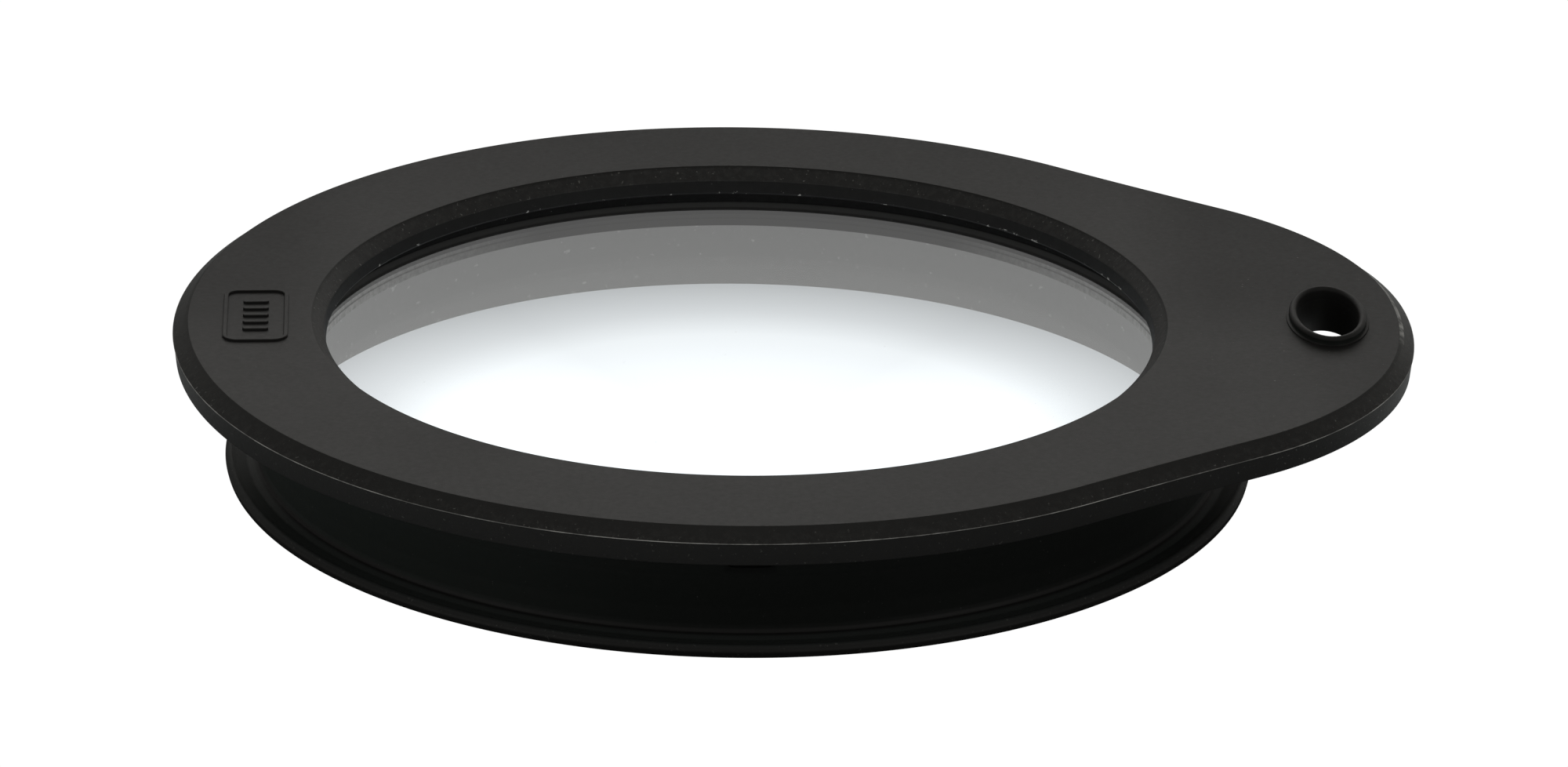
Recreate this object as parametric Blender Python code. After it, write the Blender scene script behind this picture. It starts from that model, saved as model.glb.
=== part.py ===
"""Silicone-rimmed glass lid for a 20 cm bowl.

Two pieces: a one-piece silicone rim (flange, hanging tab with an oval slot,
glass groove, skirt with a flared sealing lip) and the round glass pane that
sits in the rim's groove.

Frame: metres, +Z up, +X from the pane towards the tab's nose.  The origin is
the bottom centre of the lid's own box, on the plane it stands on, so the
ring's axis is the vertical line x = AXIS_X.
"""
import math

import bmesh
import bpy
from mathutils import Matrix, Vector

MM = 0.001

# ---- driving dimensions: millimetres, radii from the ring's axis, --------
# ---- heights (z) from the flange's top -----------------------------------
SEGMENTS = 96              # facets round the rim and the pane
SLOT_SEGMENTS = 40         # facets round the hanging slot
SHARP_ANGLE = 30.0         # edges bent more than this stay sharp, degrees

# plan outline of the flange's flat top
OPENING_R = 83.3           # edge of the top opening
FLANGE_R = 107.1           # flat top's outer edge, round part
NOSE_X = 128.2             # flat top's edge at the tab's nose, from the axis
NOSE_R = 93.2              # gentle curve across the nose
NOSE_HALF_ANGLE = 7.57     # half angle of that curve, degrees
SHOULDER_R = 72.2          # curve from the nose round to the flanks
FLANK_R = 1054.0           # nearly straight, slightly hollow flanks

# flange
FLANGE_T = 6.7             # thickness at the rim
BEVEL_OUT = 2.95           # outer bevel, outwards
BEVEL_DOWN = 2.35          # outer bevel, downwards
DRAFT_OUT = 2.45           # side's lower edge, outwards from the flat top's

# skirt
SKIRT_DEPTH = 31.36        # flange top to the plane the lid stands on
NECK_R = 93.3
LIP_R = 100.4              # sealing lip's largest radius
MOUTH_R = 91.6             # skirt's inner edge at the bottom
STAND_R0, STAND_R1 = 91.9, 93.4   # flat ring that the lid stands on

# glass and its groove
GLASS_R = 87.5
GLASS_T = 3.0
GLASS_TOP = -10.0          # z of the pane's top face
GLASS_CHAMFER = 0.4
GAP = 0.3                  # clearance between the pane and its groove
SIGHT_R = 83.9             # edge of the clear view through the pane

# hanging slot and the bead round it
SLOT_X = 114.5             # slot's centre from the ring's axis
SLOT_A, SLOT_B = 6.0, 12.8       # inner half axes, along X and along Y
SLOT_CUT_SPARE = 4.0       # cutter's reach beyond the flange, above and below
BEAD_W = 2.0               # bead's width at the foot
CROWN_W = 1.5              # and at the crown
BEAD_UP, BEAD_DOWN = 2.0, 0.75   # how far it stands proud, above and below

# shallow pockets in the neck, just under the flange
POCKET_COUNT = 4
POCKET_START = -88.0       # direction of the first pocket, degrees from +X
POCKET_OUTER_R = NECK_R + 4.0    # cutter's outer end, clear of the neck
# from the rounded bottom up: z, half width, radius of the pocket's floor
POCKET_LEVELS = [
    (-15.4, 2.2, 92.8), (-14.9, 3.3, 92.3), (-14.0, 4.2, 91.9),
    (-12.8, 4.5, 91.7), (-7.0, 4.5, 91.7),
]

# where the ring's axis and the flange's top lie in the lid's own frame
AXIS_X = -(NOSE_X - FLANGE_R) / 2.0
TOP_Z = SKIRT_DEPTH

# ---- the rim's section, from the opening over the outside and back --------
# kind, value, z: "r" is a circle of that radius, "o" follows the flange's
# outline, moved outwards by the value
GLASS_BOTTOM = GLASS_TOP - GLASS_T
GROOVE_TOP = GLASS_TOP + GAP
GROOVE_BOTTOM = GLASS_BOTTOM - GAP
RIM_SECTION = [
    # flange: flat top, bevel, side and underside
    ("r", OPENING_R, 0.0),
    ("o", 0.0, 0.0),
    ("o", BEVEL_OUT, -BEVEL_DOWN),
    ("o", DRAFT_OUT, -FLANGE_T),
    ("r", NECK_R + 1.9, -FLANGE_T),
    # neck
    ("r", NECK_R + 0.7, -FLANGE_T - 0.6),
    ("r", NECK_R + 0.25, -9.0),
    ("r", NECK_R, -13.0),
    ("r", NECK_R - 0.1, -18.0),
    ("r", NECK_R + 0.3, -22.5),
    ("r", NECK_R + 1.1, -25.4),
    # flared sealing lip
    ("r", NECK_R + 2.0, -26.2),
    ("r", NECK_R + 3.5, -26.8),
    ("r", LIP_R - 1.8, -26.2),
    ("r", LIP_R - 0.6, -26.8),
    ("r", LIP_R, -28.2),
    ("r", LIP_R - 0.4, -29.2),
    # standing ring and the skirt's inner wall
    ("r", STAND_R1, -SKIRT_DEPTH),
    ("r", STAND_R0, -SKIRT_DEPTH),
    ("r", MOUTH_R, -SKIRT_DEPTH + 0.4),
    ("r", 90.7, -24.0),
    ("r", 90.0, -17.0),
    # ledge under the glass
    ("r", 88.8, -15.6),
    ("r", SIGHT_R + 0.5, -15.5),
    ("r", SIGHT_R, -15.1),
    ("r", SIGHT_R, -13.9),
    ("r", SIGHT_R + 0.25, -13.7),
    # glass groove
    ("r", SIGHT_R + 0.25, GROOVE_BOTTOM),
    ("r", GLASS_R + GAP, GROOVE_BOTTOM),
    ("r", GLASS_R + GAP, GROOVE_TOP),
    ("r", SIGHT_R + 0.05, GROOVE_TOP),
    # hollow above the glass, then the edge that juts into the opening
    ("r", SIGHT_R + 0.25, -9.0),
    ("r", 84.95, -8.0),
    ("r", 84.95, -6.2),
    ("r", 84.6, -5.75),
    ("r", 80.8, -5.3),
    ("r", 80.45, -4.7),
    ("r", 80.8, -2.35),
]

# ---- the bead's section: distance out from the slot's inner wall, z -------
BEAD_LOW = -FLANGE_T - BEAD_DOWN
BEAD_SECTION = [
    (0.0, BEAD_LOW + 0.35),
    (0.0, BEAD_UP - 0.6),
    (0.22, BEAD_UP - 0.15),
    (0.65, BEAD_UP),
    (1.1, BEAD_UP - 0.2),
    (1.33, BEAD_UP - 0.75),
    (CROWN_W, 0.32),
    (BEAD_W, 0.28),
    (BEAD_W, BEAD_LOW + 0.35),
    (BEAD_W - 0.4, BEAD_LOW),
    (0.4, BEAD_LOW),
]


# ---- plan outline: ring, hollow flank, shoulder and nose, tangent arcs ----
def polar_angle(point):
    return math.atan2(point.y, point.x)


def flank_centre(shoulder_centre):
    """Centre of the arc that touches the ring and the shoulder from outside."""
    to_ring = FLANGE_R + FLANK_R
    to_shoulder = SHOULDER_R + FLANK_R
    base = shoulder_centre.length
    along = (to_ring ** 2 - to_shoulder ** 2 + base ** 2) / (2.0 * base)
    across = math.sqrt(to_ring ** 2 - along ** 2)
    direction = shoulder_centre.normalized()
    return along * direction + across * Vector((-direction.y, direction.x))


# the +Y half; the outline is the same on both sides of the X axis
NOSE_CENTRE = Vector((NOSE_X - NOSE_R, 0.0))
NOSE_END_DIR = Vector((math.cos(math.radians(NOSE_HALF_ANGLE)),
                       math.sin(math.radians(NOSE_HALF_ANGLE))))
SHOULDER_CENTRE = NOSE_CENTRE + (NOSE_R - SHOULDER_R) * NOSE_END_DIR
FLANK_CENTRE = flank_centre(SHOULDER_CENTRE)
SHOULDER_END_DIR = (FLANK_CENTRE - SHOULDER_CENTRE).normalized()


def outline_radius(theta, offset):
    """Polar radius of the outline, moved outwards by offset."""
    ray = Vector((math.cos(theta), abs(math.sin(theta))))
    angle = polar_angle(ray)
    nose_end = NOSE_CENTRE + (NOSE_R + offset) * NOSE_END_DIR
    shoulder_end = SHOULDER_CENTRE + (SHOULDER_R + offset) * SHOULDER_END_DIR

    if angle >= polar_angle(FLANK_CENTRE):
        return FLANGE_R + offset
    # side picks the near (-1) or far (+1) crossing of the ray and the circle
    if angle >= polar_angle(shoulder_end):
        centre, radius, side = FLANK_CENTRE, FLANK_R - offset, -1.0
    elif angle >= polar_angle(nose_end):
        centre, radius, side = SHOULDER_CENTRE, SHOULDER_R + offset, 1.0
    else:
        centre, radius, side = NOSE_CENTRE, NOSE_R + offset, 1.0
    along = centre.dot(ray)
    half_chord_sq = along * along - centre.length_squared + radius * radius
    return along + side * math.sqrt(max(half_chord_sq, 0.0))


# ---- rings of points ------------------------------------------------------
def place(x, y, z):
    """Point from the ring's axis and the flange's top, in the lid's frame."""
    return Vector((AXIS_X + x, y, TOP_Z + z)) * MM


def full_turn(count):
    return [2.0 * math.pi * k / count for k in range(count)]


def ellipse(centre_x, half_x, half_y, z, count):
    return [place(centre_x + half_x * math.cos(theta), half_y * math.sin(theta), z)
            for theta in full_turn(count)]


def slot_ring(outwards, z):
    return ellipse(SLOT_X, SLOT_A + outwards, SLOT_B + outwards, z, SLOT_SEGMENTS)


def rim_ring(kind, value, z):
    points = []
    for theta in full_turn(SEGMENTS):
        radius = value if kind == "r" else outline_radius(theta, value)
        points.append(place(radius * math.cos(theta), radius * math.sin(theta), z))
    return points


# ---- mesh, object and material helpers ------------------------------------
def loft(rings, closed):
    """Skin through the rings; closed joins the last to the first, else caps both."""
    bm = bmesh.new()
    count = len(rings[0])
    first = [bm.verts.new(point) for point in rings[0]]
    edges = [bm.edges.new((first[i], first[(i + 1) % count])) for i in range(count)]
    verts = first
    for ring in rings[1:]:
        geom = bmesh.ops.extrude_edge_only(bm, edges=edges)["geom"]
        fresh = {g for g in geom if isinstance(g, bmesh.types.BMVert)}
        edges = [g for g in geom if isinstance(g, bmesh.types.BMEdge)
                 and g.verts[0] in fresh and g.verts[1] in fresh]
        # each new vertex hangs on the old one it was extruded from
        verts = [next(e.other_vert(v) for e in v.link_edges if e.other_vert(v) in fresh)
                 for v in verts]
        for vert, point in zip(verts, ring):
            vert.co = point
    if closed:
        for i in range(count):
            j = (i + 1) % count
            bm.faces.new((verts[i], verts[j], first[j], first[i]))
    else:
        bm.faces.new(verts)
        bm.faces.new(list(reversed(first)))
    bmesh.ops.recalc_face_normals(bm, faces=bm.faces[:])
    return bm


def link_object(bm, name):
    mesh = bpy.data.meshes.new(name)
    bm.to_mesh(mesh)
    bm.free()
    ob = bpy.data.objects.new(name, mesh)
    bpy.context.scene.collection.objects.link(ob)
    return ob


def add_piece(bm, name, mat):
    piece = link_object(bm, name)
    piece.data.materials.append(mat)
    piece.data.shade_smooth()
    piece.data.set_sharp_from_angle(angle=math.radians(SHARP_ANGLE))
    return piece


def add_boolean(piece, bm, name, operation):
    """Combine the piece with a helper object that isn't rendered."""
    tool = link_object(bm, name)
    tool.hide_render = True
    tool.display_type = "WIRE"
    mod = piece.modifiers.new(name, "BOOLEAN")
    mod.operation = operation
    mod.object = tool
    mod.solver = "EXACT"


def material(name, color, roughness, transmission=0.0):
    mat = bpy.data.materials.new(name)
    mat.use_nodes = True
    inputs = mat.node_tree.nodes["Principled BSDF"].inputs
    inputs["Base Color"].default_value = (*color, 1.0)
    inputs["Roughness"].default_value = roughness
    inputs["Transmission Weight"].default_value = transmission
    return mat


def silicone():
    return material("silicone_black", color=(0.045, 0.045, 0.043), roughness=0.55)


def clear_glass():
    return material("clear_glass", color=(0.9, 0.95, 0.95), roughness=0.02, transmission=1.0)


# ---- pieces ---------------------------------------------------------------
def add_slot(rim):
    """Cut the slot through the middle of its bead, then add the bead."""
    middle = BEAD_W / 2.0
    cut = loft([slot_ring(middle, -FLANGE_T - SLOT_CUT_SPARE),
                slot_ring(middle, SLOT_CUT_SPARE)], closed=False)
    add_boolean(rim, cut, "slot_cut", "DIFFERENCE")
    bead = loft([slot_ring(outwards, z) for outwards, z in BEAD_SECTION], closed=True)
    add_boolean(rim, bead, "slot_bead", "UNION")


def pocket_block(degrees):
    """Block with a rounded bottom, turned about the ring's axis."""
    rings = []
    for z, half, floor_r in POCKET_LEVELS:
        corners = [(floor_r, -half), (POCKET_OUTER_R, -half),
                   (POCKET_OUTER_R, half), (floor_r, half)]
        rings.append([place(x, y, z) for x, y in corners])
    bm = loft(rings, closed=False)
    bmesh.ops.rotate(bm, verts=bm.verts[:], cent=(AXIS_X * MM, 0.0, 0.0),
                     matrix=Matrix.Rotation(math.radians(degrees), 3, "Z"))
    return bm


def make_rim():
    bm = loft([rim_ring(*entry) for entry in RIM_SECTION], closed=True)
    rim = add_piece(bm, "silicone_rim", silicone())
    add_slot(rim)
    for k in range(POCKET_COUNT):
        block = pocket_block(POCKET_START + k * 360.0 / POCKET_COUNT)
        add_boolean(rim, block, f"pocket_cut_{k + 1}", "DIFFERENCE")


def make_pane():
    inner_r = GLASS_R - GLASS_CHAMFER
    section = [
        (inner_r, GLASS_BOTTOM),
        (GLASS_R, GLASS_BOTTOM + GLASS_CHAMFER),
        (GLASS_R, GLASS_TOP - GLASS_CHAMFER),
        (inner_r, GLASS_TOP),
    ]
    rings = [ellipse(0.0, radius, radius, z, SEGMENTS) for radius, z in section]
    add_piece(loft(rings, closed=False), "glass_pane", clear_glass())


def clear_scene():
    for ob in list(bpy.data.objects):
        bpy.data.objects.remove(ob, do_unlink=True)


clear_scene()
make_rim()
make_pane()
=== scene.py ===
"""Looks of a silicone-rimmed glass lid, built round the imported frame.

The lid lies flat with its top up (+Z).  The ring's axis is at x = AXIS_X, y = 0; the tab with
its slot points along +X, the viewer is at -Y.  Sections are in mm: radii from the axis,
heights from the flange's flat top.  "Inner" is towards the axis.
"""
import math
from functools import reduce
from types import SimpleNamespace

import bmesh
import bpy
import numpy as np
from mathutils import Matrix, Vector


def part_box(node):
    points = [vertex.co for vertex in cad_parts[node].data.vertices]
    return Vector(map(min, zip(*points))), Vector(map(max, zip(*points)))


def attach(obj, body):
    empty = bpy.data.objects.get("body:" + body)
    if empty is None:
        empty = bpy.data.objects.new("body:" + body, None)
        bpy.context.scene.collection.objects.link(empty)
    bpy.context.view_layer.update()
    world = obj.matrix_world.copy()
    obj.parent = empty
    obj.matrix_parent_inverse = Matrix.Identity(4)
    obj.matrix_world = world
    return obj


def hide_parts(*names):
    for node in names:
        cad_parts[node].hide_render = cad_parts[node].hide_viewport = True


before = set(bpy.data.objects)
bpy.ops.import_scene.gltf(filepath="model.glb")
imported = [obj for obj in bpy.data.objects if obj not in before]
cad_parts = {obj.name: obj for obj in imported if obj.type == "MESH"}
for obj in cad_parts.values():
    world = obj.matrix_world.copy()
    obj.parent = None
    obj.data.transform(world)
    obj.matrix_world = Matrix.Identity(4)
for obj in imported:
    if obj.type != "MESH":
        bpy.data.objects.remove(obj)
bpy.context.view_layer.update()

# ---------------------------------------------------------------- dimensions
MM = 0.001
PANE_SINK = 10.0                               # the pane's top below the flange's top

pane_low, pane_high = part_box("glass_pane")
rim_low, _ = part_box("silicone_rim")
AXIS_X = (pane_low.x + pane_high.x) / 2.0
TOP = pane_high.z + PANE_SINK * MM             # the flange's flat top
GROUND = rim_low.z
DEPTH = (TOP - GROUND) / MM

# plan outline of the flange: ring, hollow flank, shoulder and nose of the tab
FLANGE_R, FLANK_R, SHOULDER_R = 107.1, 1054.0, 72.2
NOSE_X, NOSE_R, NOSE_HALF = 128.2, 93.2, math.radians(7.57)

FLANGE_T = 6.7
BEVEL_OUT, BEVEL_DOWN, DRAFT_OUT = 2.95, 2.35, 2.45

# oval slot in the tab: centre and half axes, then the bead that lines it
SLOT_X, SLOT_A, SLOT_B = 114.5, 6.0, 12.8
BEAD_W, CROWN_W, BEAD_UP, BEAD_DOWN = 2.0, 1.5, 2.0, 0.75
BEAD_TUCK = 0.45                               # how much slimmer the foot is at the slot's ends

SIGHT_R, GLASS_R, GLASS_T = 83.9, 87.5, 3.0
CLEAR = 0.04                                   # gap between pane and rim
GLASS_TOP, GLASS_BOTTOM = -PANE_SINK, -PANE_SINK - GLASS_T
GROOVE_TOP, GROOVE_BOTTOM = GLASS_TOP + CLEAR, GLASS_BOTTOM - CLEAR

RIM_COUNT = 480                                # segments round the rim
PANE_COUNT = RIM_COUNT // 2
SLOT_COUNT = 160

# rim section: kind, distance, height, corner radius
# kind "r": distance from the axis; kind "o": distance outside the flange's plan outline
RIM_SECTION = [
    ("r", 83.3, 0.0, 0.35),
    ("r", 89.0, 0.0, 0.0),
    ("o", -8.0, 0.0, 0.0),
    ("o", 0.0, 0.0, 0.30),
    ("o", BEVEL_OUT - 0.10, -BEVEL_DOWN + 0.09, 0.06),
    ("o", BEVEL_OUT + 0.10, -BEVEL_DOWN - 0.02, 0.05),      # parting-line flash
    ("o", BEVEL_OUT - 0.08, -BEVEL_DOWN - 0.14, 0.06),
    ("o", DRAFT_OUT, -FLANGE_T, 0.12),
    ("o", -6.0, -FLANGE_T, 0.0),
    ("r", 98.0, -FLANGE_T, 0.0),                            # outer wall of the neck
    ("r", 93.75, -FLANGE_T, 1.2),
    ("r", 93.45, -9.5, 3.0),
    ("r", 93.2, -16.0, 8.0),
    ("r", 93.45, -22.0, 8.0),
    ("r", 93.8, -25.4, 1.6),
    ("r", 94.3, -26.75, 0.5),                               # groove and flared foot
    ("r", 96.2, -27.35, 1.2),
    ("r", 98.4, -26.95, 1.6),
    ("r", 99.5, -26.65, 0.9),
    ("r", 100.4, -27.9, 0.7),
    ("r", 100.1, -29.15, 0.5),
    ("r", 93.6, -DEPTH, 0.3),
    ("r", 91.6, -DEPTH, 0.25),                              # inner wall
    ("r", 91.15, -28.2, 4.0),
    ("r", 90.5, -22.0, 8.0),
    ("r", 89.8, -15.55, 1.5),
    ("r", SIGHT_R, -15.5, 0.22),                            # ledge under the pane
    ("r", SIGHT_R, -13.95, 0.10),
    ("r", SIGHT_R + 0.22, -13.75, 0.10),
    ("r", SIGHT_R + 0.22, GROOVE_BOTTOM, 0.0),
    ("r", GLASS_R + CLEAR, GROOVE_BOTTOM, 0.0),
    ("r", GLASS_R + CLEAR, GROOVE_TOP, 0.0),
    ("r", SIGHT_R + 0.02, GROOVE_TOP, 0.0),                 # lip and throat over the pane
    ("r", SIGHT_R + 0.06, -9.72, 0.10),
    ("r", 84.95, -8.35, 0.30),
    ("r", 84.95, -6.05, 0.25),
    ("r", 84.2, -5.62, 0.20),
    ("r", 80.72, -5.25, 0.14),
    ("r", 80.45, -4.85, 0.14),
    ("r", 80.78, -2.35, 0.5),
]

PANE_FLAT_R, PANE_EDGE_R, PANE_ROUND = 60.0, 86.5, 0.7
PANE_SECTION = [
    ("r", PANE_FLAT_R, GLASS_TOP, 0.0), ("r", PANE_EDGE_R, GLASS_TOP, 0.0),
    ("r", GLASS_R, GLASS_TOP, PANE_ROUND), ("r", GLASS_R, GLASS_BOTTOM, PANE_ROUND),
    ("r", PANE_EDGE_R, GLASS_BOTTOM, 0.0), ("r", PANE_FLAT_R, GLASS_BOTTOM, 0.0),
]


# ---------------------------------------------------------------- plan outline
def arc_centres():
    """Centres of the nose, shoulder and flank arcs, from the ring's axis."""
    nose = Vector((NOSE_X - NOSE_R, 0.0))
    nose_end = Vector((math.cos(NOSE_HALF), math.sin(NOSE_HALF)))
    shoulder = nose + (NOSE_R - SHOULDER_R) * nose_end
    # the flank touches the ring and the shoulder from outside
    to_ring, to_shoulder, base = FLANGE_R + FLANK_R, SHOULDER_R + FLANK_R, shoulder.length
    along = (to_ring * to_ring - to_shoulder * to_shoulder + base * base) / (2.0 * base)
    across = math.sqrt(to_ring * to_ring - along * along)
    unit = shoulder.normalized()
    return nose, shoulder, along * unit + across * Vector((-unit.y, unit.x))


NOSE_C, SHOULDER_C, FLANK_C = arc_centres()


def outline_radius(theta, off):
    """Polar radius of the plan outline at theta, moved outwards by off."""
    ray = Vector((math.cos(theta), abs(math.sin(theta))))
    angle = math.atan2(ray.y, ray.x)
    nose_end = NOSE_C + (NOSE_R + off) * Vector((math.cos(NOSE_HALF), math.sin(NOSE_HALF)))
    shoulder_end = SHOULDER_C + (SHOULDER_R + off) * (FLANK_C - SHOULDER_C).normalized()
    flank_end = (FLANGE_R + off) * FLANK_C.normalized()
    if angle >= math.atan2(flank_end.y, flank_end.x):
        return FLANGE_R + off
    if angle >= math.atan2(shoulder_end.y, shoulder_end.x):
        centre, radius, sign = FLANK_C, FLANK_R - off, -1.0
    elif angle >= math.atan2(nose_end.y, nose_end.x):
        centre, radius, sign = SHOULDER_C, SHOULDER_R + off, 1.0
    else:
        centre, radius, sign = NOSE_C, NOSE_R + off, 1.0
    along = centre.dot(ray)
    inside = along * along - centre.length_squared + radius * radius
    return along + sign * math.sqrt(max(inside, 0.0))


# ---------------------------------------------------------------- mesh helpers
def new_object(name, bm):
    mesh = bpy.data.meshes.new(name)
    bm.to_mesh(mesh)
    bm.free()
    ob = bpy.data.objects.new(name, mesh)
    bpy.context.scene.collection.objects.link(ob)
    mesh.shade_smooth()
    return ob


def angles(count):
    return [2.0 * math.pi * k / count for k in range(count)]


def body(name, tubes=(), blocks=()):
    """Object from stacks of rings: a tube's last ring joins its first, a block is capped."""
    bm = bmesh.new()
    for stacks, closed in ((tubes, True), (blocks, False)):
        for rings in stacks:
            rows = [[bm.verts.new(p) for p in ring] for ring in rings]
            count = len(rows[0])
            for a, b in zip(rows, rows[1:] + rows[:1] if closed else rows[1:]):
                for j in range(count):
                    k = (j + 1) % count
                    bm.faces.new((a[j], b[j], b[k], a[k]) if closed else (a[j], a[k], b[k], b[j]))
            if not closed:
                bm.faces.new(rows[0][::-1])
                bm.faces.new(rows[-1])
    bmesh.ops.recalc_face_normals(bm, faces=bm.faces[:])
    return new_object(name, bm)


def rounded(points, steps):
    """Section points (kind, distance, height) with each corner that has a radius made an arc."""
    out = []
    for i, (kind, distance, z, radius) in enumerate(points):
        if radius <= 0.0:
            out.append((kind, distance, z))
            continue
        corner = Vector((distance, z))
        back = Vector(points[i - 1][1:3]) - corner
        ahead = Vector(points[(i + 1) % len(points)][1:3]) - corner
        unit_back, unit_ahead = back.normalized(), ahead.normalized()
        half = unit_back.angle(unit_ahead) / 2.0
        # the arc takes less than half of either neighbouring edge
        reach = min(radius / math.tan(half), 0.48 * back.length, 0.48 * ahead.length)
        fitted = reach * math.tan(half)
        centre = corner + (unit_back + unit_ahead).normalized() * (fitted / math.sin(half))
        start = corner + unit_back * reach - centre
        end = corner + unit_ahead * reach - centre
        sweep = start.angle_signed(end)
        count = max(2, int(math.ceil(abs(sweep) / math.radians(90.0 / (steps + 1)))))
        for j in range(count + 1):
            t = -sweep * j / count
            cos, sin = math.cos(t), math.sin(t)
            p = centre + Vector((start.x * cos - start.y * sin, start.x * sin + start.y * cos))
            out.append((kind, p.x, p.y))
    return out


def revolved(section, count):
    """One ring per section point, round the ring's axis."""
    rings = []
    for kind, distance, z in section:
        ring = []
        for t in angles(count):
            r = distance if kind == "r" else outline_radius(t, distance)
            ring.append((AXIS_X + r * math.cos(t) * MM, r * math.sin(t) * MM, TOP + z * MM))
        rings.append(ring)
    return rings


def add_boolean(ob, tool, operation):
    mod = ob.modifiers.new(tool.name, "BOOLEAN")
    mod.operation, mod.object, mod.solver = operation, tool, "EXACT"
    mod.material_mode = "INDEX"


def apply_all(ob, *tools):
    """Apply the modifiers of ob and remove the tools they used."""
    bpy.context.view_layer.update()
    graph = bpy.context.evaluated_depsgraph_get()
    mesh = bpy.data.meshes.new_from_object(ob.evaluated_get(graph),
                                           preserve_all_data_layers=True, depsgraph=graph)
    ob.modifiers.clear()
    old = ob.data
    ob.data = mesh
    bpy.data.meshes.remove(old)
    for tool in tools:
        data = tool.data
        bpy.data.objects.remove(tool, do_unlink=True)
        bpy.data.meshes.remove(data)


def weight_normals(ob, sharp_degrees):
    ob.data.set_sharp_from_angle(angle=math.radians(sharp_degrees))
    mod = ob.modifiers.new("wn", "WEIGHTED_NORMAL")
    mod.mode, mod.weight, mod.keep_sharp = "FACE_AREA", 50, True
    apply_all(ob)


# ---------------------------------------------------------------- slot and bead
def slot_ring(outwards, z):
    """Oval round the slot; the bead's foot, beyond its crown, is slimmer at the two ends."""
    tuck = BEAD_TUCK * min(max((outwards - CROWN_W) / (BEAD_W - CROWN_W), 0.0), 1.0)
    return [(AXIS_X + (SLOT_X + (SLOT_A + outwards) * math.cos(t)) * MM,
             (SLOT_B + outwards - tuck * math.sin(t) ** 2) * math.sin(t) * MM,
             TOP + z * MM) for t in angles(SLOT_COUNT)]


def arc(x, y, radius, start, sweep, count):
    """Points on an arc round (x, y); start and sweep in degrees."""
    turns = [math.radians(start) + math.radians(sweep) * k / (count - 1) for k in range(count)]
    return [(x + radius * math.cos(t), y + radius * math.sin(t)) for t in turns]


def bead_profile():
    """(outwards, height): round crown, low step on the outer side, rounded lower rim."""
    crown_r, outer_r, inner_r = 0.76, 0.4, 0.35
    bottom = -FLANGE_T - BEAD_DOWN
    step = [(CROWN_W - 0.06, 0.50), (CROWN_W + 0.02, 0.36), (CROWN_W + 0.10, 0.30),
            (BEAD_W - 0.10, 0.28), (BEAD_W - 0.03, 0.25), (BEAD_W, 0.18), (BEAD_W, -0.3),
            (BEAD_W, -FLANGE_T + 0.3)]
    return (arc(crown_r, BEAD_UP - 0.15 - crown_r, crown_r, start=180.0, sweep=-178.0, count=12)
            + step
            + arc(BEAD_W - outer_r, bottom + outer_r, outer_r, start=0.0, sweep=-90.0, count=7)
            # the slot opens slightly downwards
            + arc(0.62, bottom + inner_r, inner_r, start=-90.0, sweep=-86.0, count=7))


# ---------------------------------------------------------------- pockets in the neck
# height, half width, radius of the pocket's floor
POCKET_STATIONS = [(-14.1, 3.2, 92.86), (-13.9, 3.85, 92.74), (-13.65, 4.2, 92.4),
                   (-13.3, 4.42, 92.0), (-12.9, 4.55, 91.78), (-7.0, 4.6, 91.7)]
POCKET_START, POCKET_PITCH = -88.0, 90.0       # degrees
POCKET_OUT_R = 97.3                            # the cutter reaches well outside the neck


def pocket(index):
    """Cutter for one pocket under the flange, its mouth flared at the neck's face."""
    rot = Matrix.Rotation(math.radians(POCKET_START + POCKET_PITCH * index), 3, "Z")
    rings = []
    for z, half, deep in POCKET_STATIONS:
        side = [(deep, half - 0.5), (min(deep + 0.15, 92.84), half - 0.15),
                (min(deep + 0.5, 92.9), half), (92.95, half), (93.25, half + 0.12),
                (93.55, half + 0.45), (POCKET_OUT_R, half + 0.45)]
        plan = [(x, -y) for x, y in side] + side[::-1]
        rings.append([Vector((AXIS_X, 0, TOP + z * MM)) + rot @ (Vector((x, y, 0.0)) * MM)
                      for x, y in plan])
    return body("t_pocket_%d" % index, blocks=[rings])


# ---------------------------------------------------------------- relief on the flange
def rounded_plan(a, b, radius, count=9):
    """Rounded rectangle of half sizes a, b."""
    x, y = a - radius, b - radius
    corners = [(x, y), (-x, y), (-x, -y), (x, -y)]
    return [(cx + radius * math.cos(t), cy + radius * math.sin(t))
            for quarter, (cx, cy) in enumerate(corners)
            for t in (math.pi / 2.0 * (quarter + k / (count - 1)) for k in range(count))]


def badge():
    """Rounded frame round five level bars, opposite the tab."""
    ring_r, bearing = 94.0, math.radians(183.7)
    low, high, chamfer = -0.25, 0.42, 0.12
    frame_a, frame_b, frame_r, frame_w = 6.3, 13.6, 3.0, 0.85
    bar_a, bar_b, bar_pitch = 2.5, 0.62, 3.6
    place = (Matrix.Translation((AXIS_X, 0.0, TOP)) @ Matrix.Rotation(bearing, 4, "Z")
             @ Matrix.Translation((ring_r * MM, 0.0, 0.0)))

    def rings(a, b, radius, profile, shift=0.0):
        return [[place @ (Vector((x, y + shift, z)) * MM)
                 for x, y in rounded_plan(a - inset, b - inset, radius - inset)]
                for inset, z in profile]

    rise = [(0.0, low), (0.0, high - chamfer), (chamfer, high)]      # inset, height
    fall = [(frame_w - chamfer, high), (frame_w, high - chamfer), (frame_w, low)]
    return body("t_badge", tubes=[rings(frame_a, frame_b, frame_r, rise + fall)],
                blocks=[rings(bar_a, bar_b, bar_b * 0.98, rise, shift=(i - 2) * bar_pitch)
                        for i in range(5)])


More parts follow.
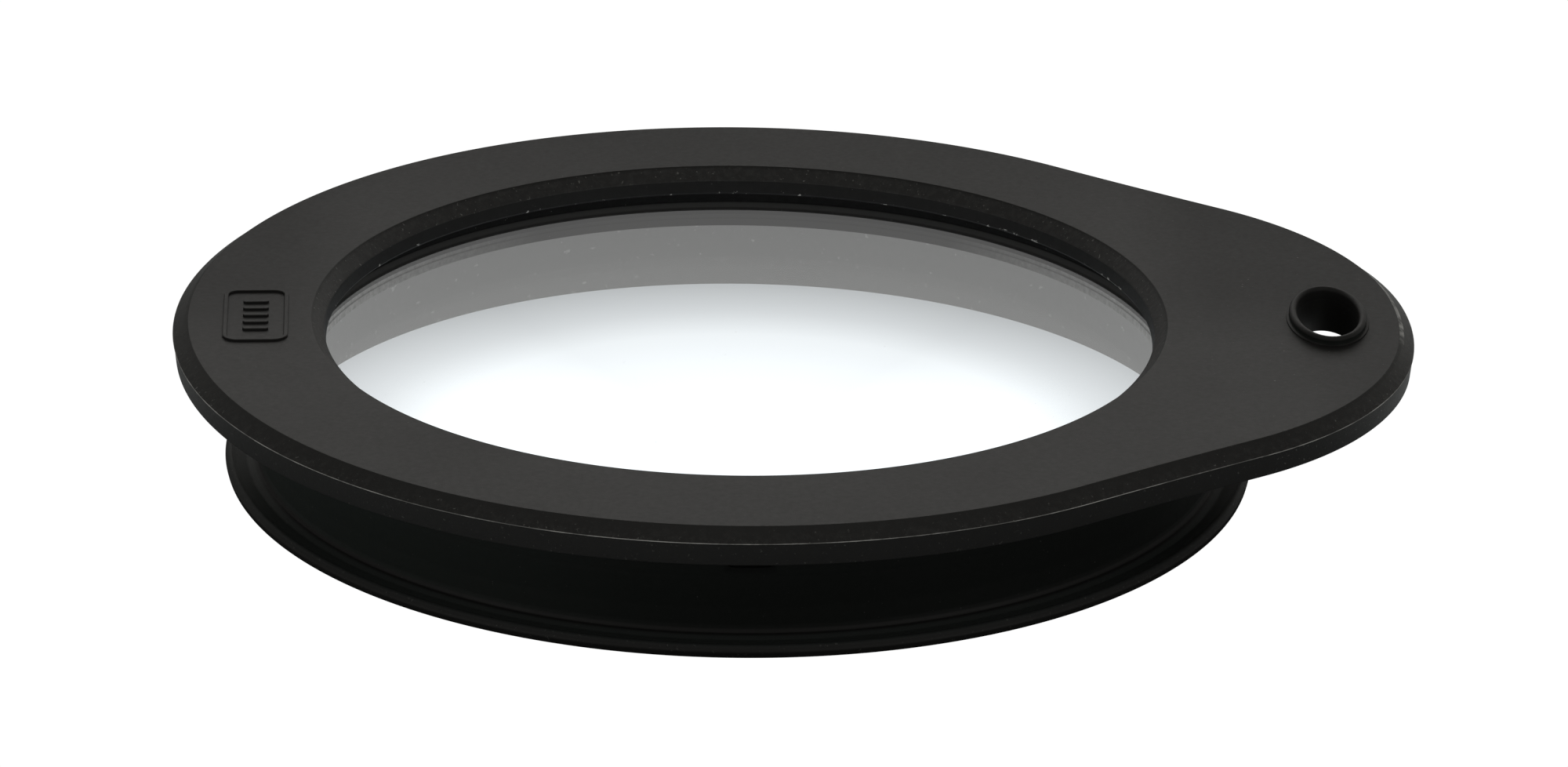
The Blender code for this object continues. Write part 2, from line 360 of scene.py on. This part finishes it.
# ---------------------------------------------------------------- rim and pane
def store_outer(ob):
    """Vertex attribute "outer": 0 inside the top outline, 1 from 1.5 mm outside it."""
    mesh = ob.data
    co = np.empty(len(mesh.vertices) * 3)
    mesh.vertices.foreach_get("co", co)
    co = co.reshape(-1, 3)
    x, y = (co[:, 0] - AXIS_X) / MM, co[:, 1] / MM
    grid = np.linspace(0.0, math.pi, 721)
    outline = np.array([outline_radius(t, 0.0) for t in grid])
    off = np.hypot(x, y) - np.interp(np.abs(np.arctan2(y, x)), grid, outline)
    attribute = mesh.attributes.new("outer", "FLOAT", "POINT")
    attribute.data.foreach_set("value", np.clip(off / 1.5, 0.0, 1.0).astype(np.float32))


def build_rim():
    rim = body("silicone_rim_moulding", tubes=[revolved(rounded(RIM_SECTION, 5), RIM_COUNT)])
    # the slot is cut along the middle of its bead, then the bead goes in
    slot_cut = body("t_slot_cut",
                    blocks=[[slot_ring(BEAD_W / 2.0, z) for z in (-FLANGE_T - 4.0, 4.0)]])
    bead = body("t_slot_bead", tubes=[[slot_ring(w, z) for w, z in bead_profile()]])
    pockets = [pocket(i) for i in range(4)]
    mark = badge()
    add_boolean(rim, slot_cut, "DIFFERENCE")
    add_boolean(rim, bead, "UNION")
    for cutter in pockets:
        add_boolean(rim, cutter, "DIFFERENCE")
    add_boolean(rim, mark, "UNION")
    apply_all(rim, slot_cut, bead, mark, *pockets)
    rim.data.shade_smooth()
    weight_normals(rim, sharp_degrees=38.0)
    store_outer(rim)
    return rim


rim = build_rim()
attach(rim, "root")
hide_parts("silicone_rim")

pane = body("glass_pane_polished", blocks=[revolved(rounded(PANE_SECTION, 6), PANE_COUNT)])
weight_normals(pane, sharp_degrees=20.0)
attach(pane, "root")
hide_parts("glass_pane")


# ---------------------------------------------------------------- node helpers
class Nodes:
    """Short forms for building a node tree; each returns an output socket."""

    def __init__(self, tree):
        self.tree = tree
        tree.nodes.clear()

    def node(self, kind, inputs=None, **props):
        """The node itself.  Tuples are colours without alpha."""
        node = self.tree.nodes.new(kind)
        for key, value in props.items():
            setattr(node, key, value)
        for key, value in (inputs or {}).items():
            if isinstance(value, bpy.types.NodeSocket):
                self.tree.links.new(value, node.inputs[key])
            else:
                colour = isinstance(value, tuple)
                node.inputs[key].default_value = (*value, 1.0) if colour else value
        return node

    def out(self, kind, inputs=None, **props):
        return self.node(kind, inputs, **props).outputs[0]

    def math(self, op, a, b=0.0, c=0.0, clamp=False):
        return self.out("ShaderNodeMath", {0: a, 1: b, 2: c}, operation=op, use_clamp=clamp)

    def mul(self, *factors):
        """Product; a plain number among the factors is a strength."""
        return reduce(lambda a, b: self.math("MULTIPLY", a, b), factors)

    def most(self, *values):
        return reduce(lambda a, b: self.math("MAXIMUM", a, b), values)

    def scaled(self, value, gain, add, clamp=False):
        return self.math("MULTIPLY_ADD", value, gain, add, clamp)

    def above(self, value, limit):
        return self.math("GREATER_THAN", value, limit)

    def below(self, value, limit):
        return self.math("LESS_THAN", value, limit)

    def band(self, value, low, high, soft):
        """1 between low and high, fading over soft outside them."""
        rise = self.scaled(value, 1.0 / soft, 1.0 - low / soft, clamp=True)
        fall = self.scaled(value, -1.0 / soft, 1.0 + high / soft, clamp=True)
        return self.mul(rise, fall)

    def ramp(self, value, *stops):
        """Grey ramp; each stop is (position, level)."""
        node = self.node("ShaderNodeValToRGB", {0: value})
        elements = node.color_ramp.elements
        while len(elements) > 1:
            elements.remove(elements[-1])
        for i, (position, level) in enumerate(stops):
            element = elements.new(position) if i else elements[0]
            element.position = position
            element.color = (level, level, level, 1.0)
        return node.outputs[0]

    def noise(self, place, scale, detail, roughness):
        return self.node("ShaderNodeTexNoise", {
            "Vector": place, "Scale": scale, "Detail": detail,
            "Roughness": roughness}).outputs["Fac"]

    def mix_value(self, factor, a, b):
        return self.out("ShaderNodeMix", {0: factor, 2: a, 3: b}, data_type="FLOAT")

    def mix_colour(self, factor, a, b):
        return self.node("ShaderNodeMix", {0: factor, 6: a, 7: b}, data_type="RGBA").outputs[2]

    def mix_shader(self, factor, a, b):
        return self.out("ShaderNodeMixShader", {0: factor, 1: a, 2: b})

    def emission(self, colour, strength):
        return self.out("ShaderNodeEmission", {"Color": colour, "Strength": strength})

    def coords(self, kind):
        return self.node("ShaderNodeTexCoord").outputs[kind]

    def axes(self, vector):
        return self.node("ShaderNodeSeparateXYZ", {0: vector}).outputs


def new_material(name):
    mat = bpy.data.materials.new(name)
    mat.use_nodes = True
    return mat, Nodes(mat.node_tree)


# ---------------------------------------------------------------- silicone
# bands on the rim's inner side: low, high and fade of the height, outer radius; mm
INNER_BANDS = {
    "ridge": (-5.05, -4.62, 0.1, 81.5),
    "ledge": (-15.6, -12.9, 0.03, 87.9),
    "throat": (-8.45, -5.0, 0.08, 85.6),
    "wall": (-5.0, -2.5, 0.08, 81.5),
    "lip": (-9.25, -8.7, 0.35, 85.6),
    "chamfer": (-2.4, -0.25, 0.08, 83.5),
}
POCKET_COS, POCKET_SIN = 999.4, 34.9           # the pockets' 2 degree turn, with metres to mm
BEAD_REACH = 1.42                              # outwards from the slot to the bead's outer side


def silicone_zones(n, place):
    """Masks of the rim's regions; x and y in metres from the axis, r and z in mm."""
    at = SimpleNamespace()
    from_origin, y, height = n.axes(place)
    x = n.math("SUBTRACT", from_origin, AXIS_X)
    r = n.mul(n.math("SQRT", n.scaled(x, x, n.mul(y, y))), 1000.0)
    z = n.scaled(height, gain=1000.0, add=-TOP * 1000.0)
    outer = n.node("ShaderNodeAttribute", attribute_name="outer").outputs["Fac"]
    at.x, at.y, at.z, at.outer = x, y, z, outer

    def inner_band(name):
        low, high, soft, radius = INNER_BANDS[name]
        return n.mul(n.band(z, low, high, soft), n.below(r, radius))

    at.flash = n.mul(n.band(z, low=-2.41, high=-2.31, soft=0.035), n.above(outer, 0.8))
    at.ridge = inner_band("ridge")
    # painted light: the inner wall is painted pale only where it is seen through the pane, standing
    # in for the light veiling the glass
    light_path = n.node("ShaderNodeLightPath")
    at.through_pane = n.above(light_path.outputs["Transmission Depth"], 0.5)
    at.inner = n.mul(n.below(z, -15.35), n.band(r, low=88.6, high=92.0, soft=0.3),
                     at.through_pane)
    at.ledge = inner_band("ledge")
    at.throat = n.most(inner_band("throat"), at.ledge)
    at.wall = inner_band("wall")
    at.lip = inner_band("lip")
    at.chamfer = inner_band("chamfer")

    # outer side of the slot's bead, by an ellipse round the slot
    slot_x = n.math("DIVIDE", n.scaled(x, gain=1000.0, add=-SLOT_X), SLOT_A + BEAD_REACH)
    slot_y = n.math("DIVIDE", n.mul(y, 1000.0), SLOT_B + BEAD_REACH)
    around = n.scaled(slot_x, slot_x, n.mul(slot_y, slot_y))
    at.bead_side = n.mul(n.band(around, low=1.0, high=1.6, soft=0.03),
                         n.band(z, low=0.40, high=1.15, soft=0.12))

    at.bevel = n.most(n.mul(outer, n.above(z, -2.3)), inner_band("chamfer"))
    at.side = n.mul(n.above(outer, 0.8), n.below(z, -2.45), n.above(z, -6.8))
    at.foot = n.mul(n.above(r, 99.3), n.below(z, -26.9))
    at.neck = n.mul(n.band(z, low=-25.9, high=-7.2, soft=0.3),
                    n.band(r, low=91.8, high=96.6, soft=0.3))
    at.low_neck = n.band(z, low=-25.4, high=-17.0, soft=2.0)

    # faint shade in and below the four pockets
    across_a = n.scaled(x, POCKET_COS, n.mul(y, POCKET_SIN))
    across_b = n.scaled(y, POCKET_COS, n.mul(x, -POCKET_SIN))
    at.shade = n.mul(n.most(*(n.band(v, low=-4.4, high=4.4, soft=0.7)
                              for v in (across_a, across_b))),
                     n.band(z, low=-14.6, high=-7.0, soft=1.0), 0.55,
                     n.band(r, low=91.0, high=95.0, soft=0.2))

    # the groove over the foot, painted paler (painted light); the foot's crest, painted darker
    # (painted shade); and the foot's outer face, painted paler towards both sides (painted light)
    at.groove = n.mul(n.band(z, low=-28.6, high=-26.4, soft=0.2),
                      n.band(r, low=95.2, high=99.5, soft=0.6))
    at.crest = n.mul(n.above(r, 98.9), n.band(z, low=-27.4, high=-26.0, soft=0.4))
    at.rub = n.mul(n.above(r, 99.6), n.band(z, low=-30.2, high=-27.75, soft=0.5),
                   n.scaled(n.math("ABSOLUTE", x), gain=9.0, add=0.1, clamp=True))
    at.left = n.ramp(n.mul(x, -9.0), (0.0, 0.0), (0.15, 0.10), (0.75, 1.0))
    at.tab = n.ramp(n.mul(x, 8.0), (0.0, 0.0), (0.66, 0.0), (0.80, 1.0))
    return at


def silicone_colour(n, place, at, medium, broad):
    def patches(scale, detail, roughness, *stops):
        return n.ramp(n.noise(place, scale, detail, roughness), *stops)

    # dust: sparse tiny specks, denser on the bevels
    dust_noise = n.noise(place, scale=1500.0, detail=2.0, roughness=0.5)
    sparse = n.ramp(dust_noise, (0.0, 0.0), (0.735, 0.0), (0.775, 1.0))
    dense = n.ramp(dust_noise, (0.0, 0.0), (0.665, 0.0), (0.74, 1.0))
    dusty = n.most(n.most(at.bevel, at.foot), n.most(n.mul(at.side, 0.8), n.mul(at.inner, 0.6)))
    dust = n.mul(n.mix_value(dusty, sparse, dense),
                 n.scaled(n.most(at.bevel, at.tab), gain=0.16, add=0.16))

    # a broken pale line on the parting line, partly the flash's own pale flecks and partly a
    # painted highlight on its thin edge; and flecks on the inner ridge
    line = n.math("MULTIPLY", at.flash, patches(160.0, 4.0, 0.65, (0.0, 0.22), (0.42, 0.35),
                                                (0.60, 1.0)), clamp=True)
    fleck = n.math("MULTIPLY", at.ridge, patches(520.0, 3.0, 0.6, (0.0, 0.0), (0.615, 0.0),
                                                 (0.67, 1.0)), clamp=True)

    # the ledge under the pane catches more light towards its ends along X
    ends = n.ramp(n.math("DIVIDE", n.math("ABSOLUTE", at.x), SIGHT_R * MM),
                  (0.0, 0.0), (0.50, 0.0), (0.95, 1.0))
    ends = n.mul(ends, n.mul(at.ledge, at.through_pane),
                 n.scaled(medium, gain=1.4, add=0.1, clamp=True))

    # a rubbed, dusty streak along the upper edge of the bevel at the tab's tip
    streak = n.mul(n.band(at.z, low=-0.75, high=-0.03, soft=0.06), n.above(at.outer, 0.05),
                   n.mul(n.band(at.y, low=-0.006, high=0.030, soft=0.006), n.above(at.x, 0.10)),
                   patches(420.0, 3.0, 0.65, (0.0, 0.0), (0.40, 0.15), (0.60, 1.0)))

    # the bevels are a little mottled, more so on the tab; the inner wall has a few pale specks
    mottle = n.mul(patches(640.0, 5.0, 0.72, (0.0, 0.0), (0.46, 0.0), (0.66, 1.0)),
                   n.scaled(at.bevel, n.scaled(at.tab, gain=0.25, add=0.55), add=0.05))
    speck = patches(620.0, 2.0, 0.5, (0.0, 0.0), (0.67, 0.0), (0.74, 1.0))

    base = n.mix_colour(broad, (0.0105, 0.0105, 0.0100), (0.0135, 0.0133, 0.0128))
    # mask and colour, laid one over the other
    layers = [
        (n.mul(medium, 0.25), (0.018, 0.018, 0.017)),
        # painted shade: the undercut throat, the ledge under the pane and the wall under the ridge
        # made darker
        (n.most(at.throat, n.mul(at.wall, 0.5)), (0.006, 0.006, 0.006)),
        (n.most(n.mul(at.neck, 0.5), n.mul(at.bead_side, 0.7)), (0.010, 0.014, 0.012)),
        # painted light: the groove above the foot made paler, lifting the shade that falls in it
        (at.groove, (0.045, 0.052, 0.050)),
        # painted shade: the foot's crest made darker
        (n.mul(at.crest, 0.5), (0.005, 0.006, 0.006)),
        # painted light: the foot's outer face made paler, more so towards both sides
        (n.mul(at.rub, 0.85), (0.025, 0.025, 0.024)),
        # painted light: the chamfer below the top's inner edge made paler
        (n.mul(at.chamfer, 0.8), (0.019, 0.019, 0.0185)),
        # painted light: the neck made paler on its left side
        (n.mul(at.neck, at.left, 0.8), (0.034, 0.042, 0.038)),
        (at.shade, (0.0015, 0.0015, 0.0015)),
        # painted light: the inner wall seen through the pane made pale
        (at.inner, (0.15, 0.15, 0.148)),
        (ends, (0.22, 0.22, 0.215)),
        (n.mul(streak, 0.7), (0.60, 0.60, 0.58)),
        # painted light: the lip over the pane made paler
        (at.lip, (0.049, 0.049, 0.048)),
        (mottle, (0.040, 0.040, 0.038)),
        (dust, (0.35, 0.35, 0.33)),
        (n.mul(speck, at.inner, 0.22), (0.50, 0.50, 0.49)),
        (n.mul(line, 0.85), (0.62, 0.62, 0.60)),
        (n.mul(fleck, 0.6), (0.45, 0.45, 0.43)),
    ]
    for mask, colour in layers:
        base = n.mix_colour(mask, base, colour)
    return base


def matte_share(n, at):
    """Plain diffuse share on the top faces: the sheen weakens towards the far side (+Y)."""
    def far(*stops):
        return n.ramp(n.scaled(at.y, gain=5.0, add=0.5), *stops)

    share = far((0.0, 0.0), (0.35, 0.02), (0.62, 0.12), (1.0, 0.30))
    ends = n.mul(n.ramp(n.mul(n.math("ABSOLUTE", at.x), 8.0), (0.0, 0.0), (0.62, 0.0), (0.74, 1.0)),
                 far((0.0, 0.0), (0.42, 0.0), (0.56, 1.0)))
    tip = n.ramp(n.mul(at.x, 8.0), (0.0, 0.0), (0.86, 0.0), (0.96, 1.0))
    share = n.scaled(n.most(ends, tip), gain=0.13, add=share)
    return n.mul(share, n.band(at.z, low=-0.35, high=5.0, soft=0.2))


def silicone():
    mat, n = new_material("black_silicone")
    place = n.coords("Object")
    fine = n.noise(place, scale=5200.0, detail=2.0, roughness=0.6)    # satin grain, about 0.2 mm
    medium = n.noise(place, scale=900.0, detail=4.0, roughness=0.6)
    broad = n.noise(place, scale=24.0, detail=3.0, roughness=0.5)
    at = silicone_zones(n, place)
    base = silicone_colour(n, place, at, medium, broad)
    bump = n.out("ShaderNodeBump", {
        "Strength": n.scaled(n.most(at.bevel, at.side), gain=0.5, add=0.22),
        "Distance": 0.00006,
        "Height": n.scaled(medium, gain=0.5, add=fine)})
    # regions with less specular shine
    dull = n.most(n.most(at.throat, n.mul(at.wall, 0.65)),
                  n.most(n.mul(at.neck, n.scaled(at.low_neck, gain=0.20, add=0.52)),
                         n.most(at.shade, n.mul(at.bead_side, 0.55))))
    satin = n.out("ShaderNodeBsdfPrincipled", {
        "Base Color": base,
        "Roughness": n.scaled(broad, gain=0.06, add=n.scaled(medium, gain=0.14, add=0.46)),
        "IOR": 1.43,
        "Specular IOR Level": n.scaled(dull, gain=-0.42, add=0.5),
        "Normal": bump})
    matte = n.out("ShaderNodeBsdfDiffuse", {"Color": base})
    n.node("ShaderNodeOutputMaterial", {0: n.mix_shader(matte_share(n, at), satin, matte)})
    return mat


# ---------------------------------------------------------------- glass
def glass():
    mat, n = new_material("clear_glass")
    place = n.coords("Object")
    geometry = n.node("ShaderNodeNewGeometry").outputs
    up = n.above(n.axes(geometry["Normal"])[2], 0.9)
    outside = n.math("SUBTRACT", 1.0, geometry["Backfacing"])
    index = 1.52
    refraction = n.out("ShaderNodeBsdfRefraction",
                       {"Color": (0.985, 0.995, 0.995), "Roughness": 0.0, "IOR": index})
    gloss = n.out("ShaderNodeBsdfGlossy", {"Color": (1.0, 1.0, 1.0), "Roughness": 0.015})
    fresnel = n.mul(n.out("ShaderNodeFresnel", {"IOR": index}), 0.03)
    surface = n.mix_shader(fresnel, refraction, gloss)
    # faint even film and a few specks of dust on the upper face
    specks = n.ramp(n.noise(place, scale=1100.0, detail=2.0, roughness=0.5),
                    (0.0, 0.0), (0.76, 0.0), (0.80, 1.0))
    film = n.scaled(n.noise(place, scale=30.0, detail=3.0, roughness=0.5), gain=0.010, add=0.012)
    film = n.mul(n.scaled(specks, gain=0.25, add=film), n.mul(up, outside))
    haze = n.out("ShaderNodeBsdfDiffuse", {"Color": (0.97, 0.97, 0.96)})
    surface = n.mix_shader(film, surface, haze)
    # painted reflection: the upper face glows softly with the pale room's light, seen only directly
    rays = n.node("ShaderNodeLightPath").outputs
    veil = n.emission((1.0, 1.0, 0.99), n.mul(n.mul(up, outside),
                                              n.mul(rays["Is Camera Ray"], 0.085)))
    surface = n.out("ShaderNodeAddShader", {0: surface, 1: veil})
    # shadow and diffuse rays pass straight through
    free = n.most(rays["Is Shadow Ray"], rays["Is Diffuse Ray"])
    clear = n.out("ShaderNodeBsdfTransparent", {"Color": (0.97, 0.985, 0.985)})
    n.node("ShaderNodeOutputMaterial", {0: n.mix_shader(free, surface, clear)})
    return mat


for piece, make_material in ((rim, silicone), (pane, glass)):
    piece.data.materials.clear()
    piece.data.materials.append(make_material())


# ---------------------------------------------------------------- floor
FLOOR_R, FLOOR_GAP = 6.0, 0.0001               # metres
GLOW_R, UNDER_R = 0.0917, 0.0965               # glowing disc, and the shade seen through the pane
WHITE = (1.0, 1.0, 1.0)


def floor_material():
    """White to the eye, dim to the lid outside the ring, glowing softly under the pane."""
    mat, n = new_material("pale_floor")
    place = n.coords("Object")
    r = n.node("ShaderNodeVectorMath", {0: place}, operation="LENGTH").outputs["Value"]
    x = n.axes(place)[0]
    y = n.axes(place)[1]
    rays = n.node("ShaderNodeLightPath").outputs

    def share(axis, least_r):
        """Cosine of the bearing from the axis, kept finite at the centre."""
        return n.math("DIVIDE", axis, n.most(r, least_r))

    def by_bearing(axis, *stops):
        return n.ramp(n.scaled(share(axis, 0.05), gain=0.5, add=0.5), *stops)

    def by_radius(reach, *stops):
        return n.ramp(n.math("DIVIDE", r, reach), *stops)

    # what the lid gets from outside the ring: viewer's side, far side, brighter behind the tab
    near = by_radius(0.5, (0.0, 0.012), (0.30, 0.012), (0.36, 0.42), (0.42, 0.52))
    far = by_radius(0.5, (0.0, 0.02), (0.225, 0.02), (0.265, 0.50), (0.42, 0.52))
    turn = by_bearing(y, (0.0, 0.0), (0.38, 0.0), (0.56, 1.0))
    dimmer = by_bearing(x, (0.0, 0.55), (0.30, 0.66), (0.5, 1.0))
    tab_side = by_bearing(x, (0.0, 0.0), (0.55, 0.0), (0.64, 1.0), (1.0, 1.0))
    ring = n.mul(n.mix_value(turn, near, n.mul(far, dimmer)),
                 n.scaled(n.mul(tab_side, turn), gain=0.7, add=1.0))
    lean = n.scaled(share(x, 0.05), gain=-0.35, add=1.0)
    outside = n.emission((0.97, 1.0, 0.985), n.mul(ring, lean))
    glow = n.emission(WHITE, strength=1.1)
    lighting = n.mix_shader(n.below(r, GLOW_R), outside, glow)

    # through the pane: shade under the rim, weaker at both sides and at the front
    fade = by_radius(0.1, (0.0, 1.0), (0.30, 0.97), (0.46, 0.90), (0.63, 0.80), (0.76, 0.58),
                     (0.80, 0.53), (0.92, 0.39))
    aside = n.ramp(share(n.math("ABSOLUTE", x), 0.01), (0.0, 0.0), (0.55, 0.0), (0.92, 1.0))
    front = n.ramp(share(n.mul(y, -1.0), 0.01), (0.0, 0.0), (0.1, 0.0), (0.5, 1.0))
    fade = n.mul(fade, n.scaled(n.most(aside, front), gain=0.20, add=1.0))
    fade = n.math("MINIMUM", fade, 1.0)
    white = n.emission(WHITE, strength=1.02)
    under = n.emission((0.940, 0.972, 1.0), n.mul(fade, 1.08))
    through = n.mix_shader(n.below(r, UNDER_R), white, under)

    seen = n.mix_shader(rays["Is Transmission Ray"], lighting, through)
    seen = n.mix_shader(rays["Is Camera Ray"], seen, white)
    backfacing = n.node("ShaderNodeNewGeometry").outputs["Backfacing"]
    gone = n.out("ShaderNodeBsdfTransparent")
    n.node("ShaderNodeOutputMaterial", {0: n.mix_shader(backfacing, seen, gone)})
    return mat


bm = bmesh.new()
bmesh.ops.create_circle(bm, cap_ends=True, radius=FLOOR_R, segments=96)
floor = new_object("floor", bm)
floor.location = (AXIS_X, 0.0, GROUND - FLOOR_GAP)
floor.data.materials.append(floor_material())


# ---------------------------------------------------------------- world and lights
def build_world():
    """Bright overhead, a pale sweep low behind (+Y), dim towards the viewer."""
    world = bpy.data.worlds.new("studio")
    bpy.context.scene.world = world
    world.use_nodes = True
    n = Nodes(world.node_tree)
    x, y, z = n.axes(n.coords("Generated"))

    def along(axis, gain, *stops):
        return n.ramp(n.scaled(axis, gain, add=0.5), *stops)

    behind = along(y, 0.5, (0.0, 0.0), (0.50, 0.0), (0.80, 1.0))
    low = n.ramp(z, (0.0, 0.06), (0.10, 0.20), (0.24, 1.0), (0.42, 0.97), (0.65, 0.25),
                 (0.85, 0.0))
    ahead = along(y, -0.5, (0.0, 0.0), (0.50, 0.15), (0.62, 1.0), (1.0, 1.0))
    high = n.ramp(z, (0.0, 0.0), (0.60, 0.4), (0.75, 1.0), (0.96, 1.0), (1.0, 0.5))
    middle = along(x, 0.5, (0.0, 0.10), (0.27, 0.16), (0.40, 0.50), (0.46, 0.97), (0.54, 0.97),
                   (0.62, 0.62), (0.73, 0.28), (1.0, 0.20))
    # a low pale patch to the right behind, which the tip of the tab faces
    patch = n.mul(along(x, 0.5, (0.0, 0.0), (0.62, 0.0), (0.67, 1.0), (0.71, 1.0), (0.75, 0.0)),
                  n.ramp(n.math("ABSOLUTE", z), (0.0, 1.0), (0.16, 1.0), (0.26, 0.0)))
    strength = n.scaled(n.mul(behind, low, middle), gain=0.86, add=0.12)
    strength = n.scaled(n.mul(ahead, high), gain=0.30, add=strength)
    strength = n.scaled(n.mul(behind, patch), gain=0.62, add=strength)
    background = n.out("ShaderNodeBackground",
                       {"Color": (1.0, 0.975, 0.925), "Strength": strength})
    n.node("ShaderNodeOutputWorld", {0: background})


def area_light(name, azimuth, elevation, distance, power, size, depth=None):
    """Light aimed at the lid; azimuth from the viewer's side (-Y) towards +X, in degrees.

    A disk, or a rectangle where depth is given.
    """
    a, e = math.radians(azimuth), math.radians(elevation)
    place = Vector((AXIS_X + distance * math.sin(a) * math.cos(e),
                    -distance * math.cos(a) * math.cos(e), distance * math.sin(e)))
    light = bpy.data.lights.new(name, "AREA")
    light.shape, light.size, light.energy = "DISK", size, power
    if depth is not None:
        light.shape, light.size_y = "RECTANGLE", depth
    ob = bpy.data.objects.new(name, light)
    bpy.context.scene.collection.objects.link(ob)
    ob.location = place
    aim = Vector((AXIS_X, 0, 0)) - place
    ob.rotation_euler = aim.to_track_quat("-Z", "Y").to_euler()


build_world()
area_light("soft_back", azimuth=180.0, elevation=26.0, distance=0.72, power=0.30,
           size=0.7, depth=0.28)
area_light("soft_left", azimuth=-53.0, elevation=12.0, distance=1.2, power=0.4, size=0.35)
area_light("soft_right", azimuth=50.0, elevation=12.0, distance=1.2, power=0.4, size=0.35)

# ---------------------------------------------------------------- camera
CAM_DISTANCE = 1.3177227                       # from the axis at the flange's top, metres
CAM_ELEVATION, CAM_ROLL = math.radians(21.129), math.radians(-0.664)
CAM_TURN = math.radians(0.45)                  # the tab points slightly towards the viewer
# where the aimed point stands in view: slopes to the right and up from the view axis
AIM_RIGHT, AIM_UP = -0.0065422727, 0.010636843
LENS, SENSOR = 155.313, 36.0                   # mm


def build_camera():
    data = bpy.data.cameras.new("camera")
    data.sensor_fit = "HORIZONTAL"
    data.sensor_width = SENSOR
    data.lens = LENS
    data.clip_start, data.clip_end = 0.05, 30.0
    cam = bpy.data.objects.new("camera", data)
    bpy.context.scene.collection.objects.link(cam)

    offset = Vector((0.0, -CAM_DISTANCE * math.cos(CAM_ELEVATION),
                     CAM_DISTANCE * math.sin(CAM_ELEVATION)))
    forward = (-offset).normalized()
    right = Vector((1.0, 0.0, 0.0))
    aim = Vector((AIM_RIGHT, AIM_UP, 1.0)).normalized()
    tilt = Vector((0, 0, 1)).rotation_difference(aim).to_matrix()
    roll = Matrix.Rotation(CAM_ROLL, 3, "Z")
    view = tilt @ roll @ Matrix((right, right.cross(forward), forward))
    spin = Matrix.Rotation(CAM_TURN, 3, "Z")
    right, up, forward = (spin @ Vector(row) for row in view)
    pose = Matrix((right, up, -forward)).transposed().to_4x4()
    pose.translation = Vector((AXIS_X, 0.0, TOP)) + spin @ offset
    cam.matrix_world = pose
    bpy.context.scene.camera = cam


build_camera()
view_settings = bpy.context.scene.view_settings
view_settings.view_transform = "Standard"
view_settings.look = "None"
view_settings.exposure, view_settings.gamma = 0.0, 1.0
